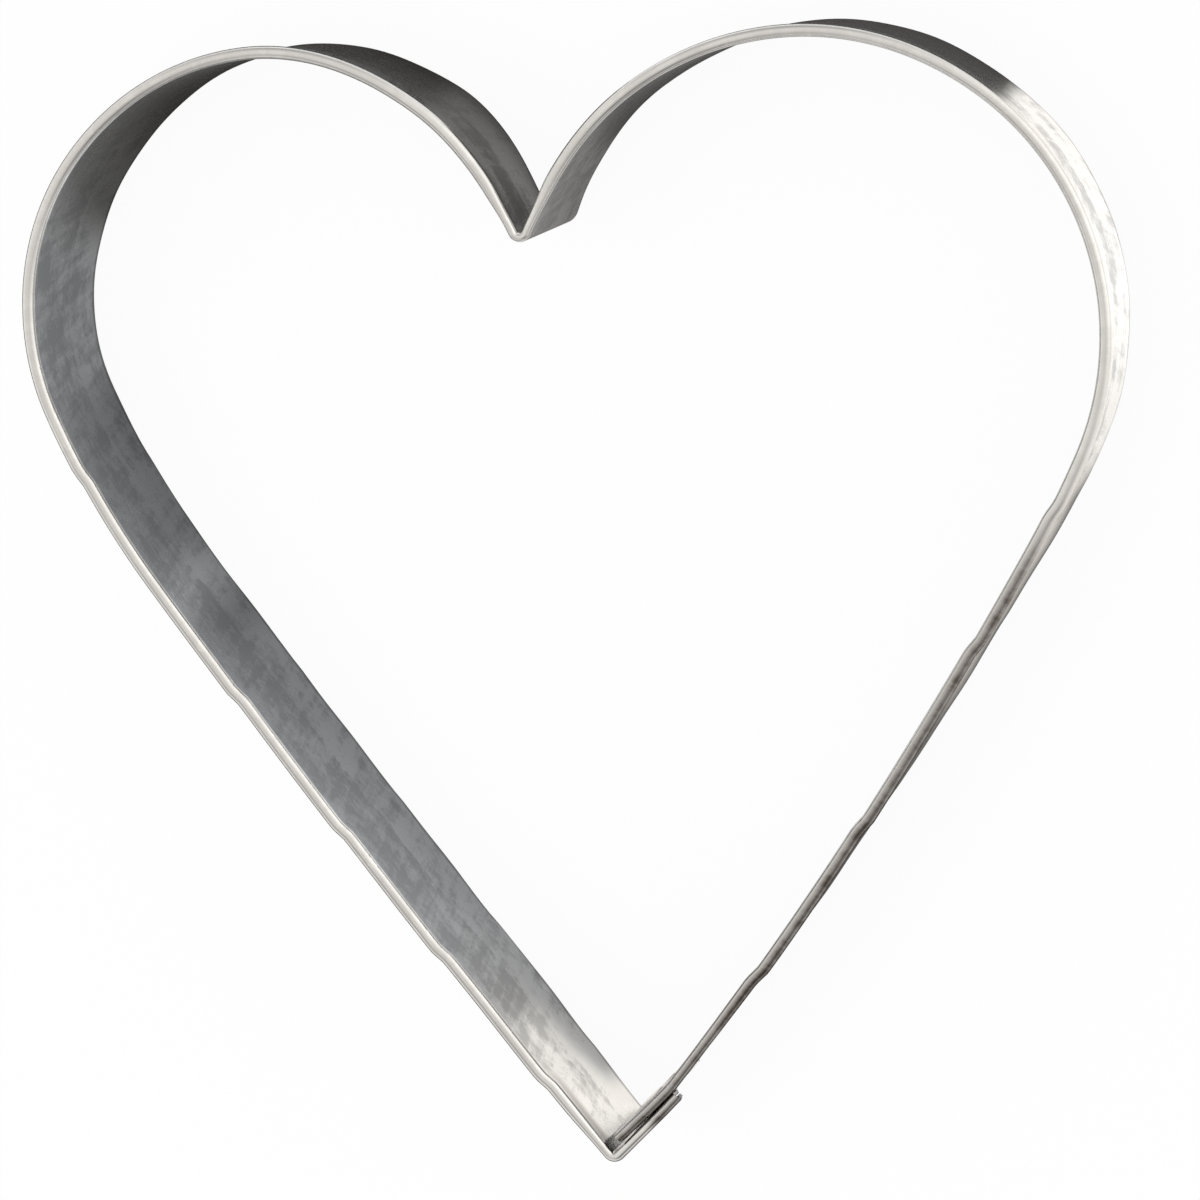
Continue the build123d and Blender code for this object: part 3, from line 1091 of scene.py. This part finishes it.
# %% The dome card
DOME_RADIUS = 0.6
DOME_BEARINGS = 73
DOME_TILTS = 25
DOME_LOWEST = 89.5
DOME_WARMTH = 0.25
WARM_TINT = np.array([0.09, 0, -0.13])


def grid_quads(columns, rows_across):
    """Quads of an open grid that is stored column after column."""
    start = np.arange(columns - 1)[:, None] * rows_across + np.arange(rows_across - 1)[None, :]
    quads = [start, start + 1, start + rows_across + 1, start + rows_across]
    return np.stack(quads, axis=-1).reshape(-1, 4)


def dome_card():
    """Part of a ball about the cutter: (sin t cos b, sin t sin b, cos t) times a radius."""
    bearing, tilt = np.meshgrid(
        np.linspace(-math.pi, math.pi, DOME_BEARINGS),
        np.radians(np.linspace(1, DOME_LOWEST, DOME_TILTS)),
        indexing="ij",
    )
    ways = [np.sin(tilt) * np.cos(bearing), np.sin(tilt) * np.sin(bearing), np.cos(tilt)]
    corners = DOME_RADIUS * np.stack(ways, axis=-1).reshape(-1, 3)
    dome = mesh_object("room_dome_card", corners, grid_quads(DOME_BEARINGS, DOME_TILTS))
    tone = room_tone(bearing, tilt)
    put_attribute(dome, "card_tone", tone[..., None] * (1 + DOME_WARMTH * WARM_TINT))
    print("room tones from", round(tone.min(), 2), "to", round(tone.max(), 2))
    return dome


# %% [markdown]
# ## Reflector cards beside the band
# Seen from above, each wall mirrors only the few millimetres of table beside it: the
# foot of the wall mirrors the nearest ones, and the rim the farthest. On the real table
# they were dark in some places and bright in others. Straight cards could stand for
# them, as in a studio, but the walls turn through every direction. So two cards follow
# the outline like ribbons, one inside and one outside, each with a near tone, a far
# tone and a tint as tracks along it. Further out, a ribbon takes the room's tone.

# %% Tones of the ribbons, from the tip to the notch
# Each entry: share of the way from the tip to the notch, near tone, far tone, warmth
INSIDE_RIGHT = [
    (0, 1.1, 1.2, 0.5),
    (0.05, 1, 1.1, 0.4),
    (0.1, 0.45, 0.6, 0.1),
    (0.3, 0.3, 0.5, 0),
    (0.6, 0.2, 0.3, 0),
    (0.84, 0.07, 0.1, 0.3),
    (0.93, 0.07, 0.09, 0.3),
    (0.97, 0.2, 0.22, 0.2),
    (1, 0.2, 0.3, 0.3),
]
INSIDE_LEFT = [
    (0, 1.05, 1.05, 0.5),
    (0.02, 1.0, 1.0, 0.5),
    (0.045, 0.42, 0.46, 0.2),
    (0.1, 0.37, 0.42, 0),
    (0.22, 0.28, 0.34, -0.2),
    (0.36, 0.23, 0.24, -0.25),
    (0.39, 0.16, 0.17, -0.2),
    (0.42, 0.25, 0.32, -0.2),
    (0.45, 0.16, 0.18, -0.2),
    (0.53, 0.15, 0.18, -0.2),
    (0.56, 0.29, 0.26, -0.2),
    (0.61, 0.28, 0.25, -0.1),
    (0.65, 0.08, 0.09, 0.2),
    (0.72, 0.035, 0.04, 0.5),
    (0.9, 0.035, 0.04, 0.5),
    (1, 0.1, 0.2, 0.3),
]
OUTSIDE_RIGHT = [
    (0, 0.1, 0.2, 0.5),
    (0.2, 0.14, 0.16, 0.5),
    (0.26, 0.16, 0.2, 0.5),
    (0.33, 0.14, 0.8, 0.5),
    (0.43, 0.17, 0.95, 0.5),
    (0.47, 1.0, 1.05, 0.4),
    (0.56, 1.3, 1.3, 0.3),
    (0.68, 1.15, 1.15, 0.4),
    (0.695, 0.06, 0.07, 0.5),
    (1, 0.05, 0.07, 0.5),
]
OUTSIDE_LEFT = [
    (0, 0.1, 0.1, 0.5),
    (0.7, 0.1, 0.12, 0.5),
    (0.8, 0.035, 0.04, 0.5),
    (0.88, 0.025, 0.05, 0.5),
    (0.91, 0.07, 0.16, 0.4),
    (1, 0.14, 0.26, 0.3),
]

# %% Ribbons beside the band
# A ribbon's tone goes from near to far between two distances from the wall, and from
# its far tone to the room's between another distance and its full reach
NEAR_TO_FAR_INSIDE = (1.2 * MM, 3.8 * MM)
FAR_TO_ROOM_INSIDE = (6 * MM, 30 * MM)
NEAR_TO_FAR_OUTSIDE = (0.3 * MM, 2.2 * MM)
FAR_TO_ROOM_OUTSIDE = (35 * MM, 90 * MM)
RIBBON_START = 0.05 * MM
RIBBON_COLUMNS = 22
RIBBON_CROWDING = 2.6
RIBBON_NARROWING = 0.75
RIBBON_LEAST = 0.4 * MM
RIBBON_LIFT = 0.02 * MM
RIBBON_FALL = 0.0003
CLEAR_OF_LAP = 0.6 * MM
ROOM_TILT = math.radians(88)
TIP_LEAN = 0.085
TIP_LEAN_ENDS = 0.3


def tone_track(right_tones, left_tones, column, at):
    """One column of the tones as an eased track, read at shares of the way."""
    right_shares, right_values = zip(*[(tone[0], tone[column]) for tone in right_tones])
    left_shares, left_values = zip(*[(tone[0], tone[column]) for tone in left_tones])
    return np.where(
        (on_right | on_lap)[:, None],
        eased_track(right_shares, right_values, at),
        eased_track(left_shares, left_values, at),
    )


def ribbon_card(name, side, right_tones, left_tones, near_to_far, far_to_room):
    """A ribbon beside the band: side is 1 outside the heart and -1 inside.

    plan = the cutting edge + side * outward * (start + share ** crowding * width),
    where the width narrows near the tip or the notch so that the two halves of a ribbon
    don't cross. Near the tip the tones lean, so that their limits lie slantwise over
    the wall. The outer ribbon leaves out the stretch behind the lap.
    """
    crossing = from_tip if side < 0 else half_length - from_tip
    width = np.minimum(far_to_room[1], RIBBON_NARROWING * crossing + RIBBON_LEAST)
    share = np.linspace(0, 1, RIBBON_COLUMNS) ** RIBBON_CROWDING
    reach = RIBBON_START + share * width[:, None]
    foot = place + rim_shift + plan_shift + edge_stray + outward * rim_bulge
    plan = foot[:, None] + side * outward[:, None] * reach
    height = RIBBON_LIFT - RIBBON_FALL * reach
    corners = np.stack([plan.real, plan.imag, height], axis=-1)
    change = eased(reach, *near_to_far)
    lean = TIP_LEAN * (1 - eased(share_to_notch, 0, TIP_LEAN_ENDS))
    at = np.maximum(share_to_notch[:, None] - lean[:, None] * change, 0)
    tones = [tone_track(right_tones, left_tones, column, at) for column in (1, 2, 3)]
    near, far, warmth = tones
    tone = near + (far - near) * change
    distant = room_tone(np.angle(side * outward), ROOM_TILT)[:, None]
    tone = tone + (distant - tone) * eased(reach, *far_to_room)
    colour = tone[..., None] * (1 + warmth[..., None] * WARM_TINT)
    kept = np.ones(len(along), bool)
    if side > 0:
        kept = ~on_right | (from_tip > LAP_LENGTH + CLEAR_OF_LAP)
    quads = grid_quads(kept.sum(), RIBBON_COLUMNS)
    ribbon = mesh_object(name, corners[kept].reshape(-1, 3), quads)
    put_attribute(ribbon, "card_tone", colour[kept])
    return ribbon


inner_ribbon = ribbon_card(
    "inner_ribbon_card",
    -1,
    INSIDE_RIGHT,
    INSIDE_LEFT,
    NEAR_TO_FAR_INSIDE,
    FAR_TO_ROOM_INSIDE,
)
outer_ribbon = ribbon_card(
    "outer_ribbon_card",
    1,
    OUTSIDE_RIGHT,
    OUTSIDE_LEFT,
    NEAR_TO_FAR_OUTSIDE,
    FAR_TO_ROOM_OUTSIDE,
)
cards = [dome_card(), inner_ribbon, outer_ribbon]
print("cards:", [(card.name, len(card.data.vertices)) for card in cards])


# %% The cards' paper
def card_paper():
    """Plain light of the card's own tone."""
    material = bpy.data.materials.new("reflector_card")
    paper = Recipe(material)
    tone = paper.node("ShaderNodeAttribute", {"attribute_name": "card_tone"}).outputs["Color"]
    glow = paper.node("ShaderNodeEmission", None, {"Color": tone, "Strength": 1.0})
    paper.finish(glow)
    return material


# Only the steel sees the cards: they give no light and no shadow of their own
card_finish = card_paper()
for card in cards:
    card.data.materials.append(card_finish)
    for sight in ("camera", "diffuse", "transmission", "volume_scatter", "shadow"):
        setattr(card, "visible_" + sight, False)

# %% [markdown]
# ## Light
# A white room and one large soft lamp overhead. A small lamp would throw a hard shadow
# through the open heart. This one gives the floor a soft shadow; the steel mirrors the
# dome instead, so the lamp is kept out of its reflections.

# %% World and lamp
WORLD_LEVEL = 0.8
world = bpy.data.worlds.new("white_room")
bpy.context.scene.world = world
room = Recipe(world)
seen = seen_rays(room)
backdrop = room.node(
    "ShaderNodeBackground",
    None,
    {"Color": FULL_WHITE, "Strength": seen * (1 - WORLD_LEVEL) + WORLD_LEVEL},
)
room.node("ShaderNodeOutputWorld", None, {"Surface": backdrop.outputs[0]})


def soft_lamp(name, spot, target, size, power):
    """A square area lamp of a size in metres and a power in watts that faces a target."""
    light = bpy.data.lights.new(name, "AREA")
    light.shape = "SQUARE"
    light.size = size
    light.energy = power
    lamp = bpy.data.objects.new(name, light)
    lamp.location = spot
    way = Vector(target) - Vector(spot)
    lamp.rotation_euler = way.to_track_quat("-Z", "Y").to_euler()
    lamp.visible_glossy = False
    bpy.context.scene.collection.objects.link(lamp)
    print(name, "at", spot, "with", power, "W")


soft_lamp("overhead_softbox", spot=(-0.1, -0.02, 0.75), target=(0, 0, 0), size=0.55, power=2.2)

# %% [markdown]
# ## Camera
# The photograph looks almost straight down, about 14 degrees off the vertical, from
# far away with a long lens, so the near rim hides little of the far edge. A camera that
# tracks a target would be quicker to set, but it can't also hold the picture's roll, so
# the place and the three turns are given, as they were fitted to the outline.

# %% The camera at the photograph's angle
LENS_MM = 210
SENSOR_MM = 36
CAMERA_PLACE = (140.06 * MM, 70.94 * MM, 643.52 * MM)
CAMERA_TURN = (-0.11214, 0.21508, -0.0055)
NEAREST_SEEN = 0.01
FARTHEST_SEEN = 10
camera_data = bpy.data.cameras.new("camera")
camera_data.lens = LENS_MM
camera_data.sensor_width = SENSOR_MM
camera_data.clip_start = NEAREST_SEEN
camera_data.clip_end = FARTHEST_SEEN
camera = bpy.data.objects.new("camera", camera_data)
camera.location = CAMERA_PLACE
camera.rotation_euler = Euler(CAMERA_TURN, "ZYX")
camera.rotation_mode = "ZYX"
bpy.context.scene.collection.objects.link(camera)
bpy.context.scene.camera = camera
off_vertical = math.degrees(math.atan2(math.hypot(*CAMERA_PLACE[:2]), CAMERA_PLACE[2]))
print("camera off the vertical in degrees:", round(off_vertical, 1))

# %% [markdown]
# ## Last steps
# The view stays plain.

# %% View
bpy.context.scene.view_settings.view_transform = "Standard"
bpy.context.view_layer.update()
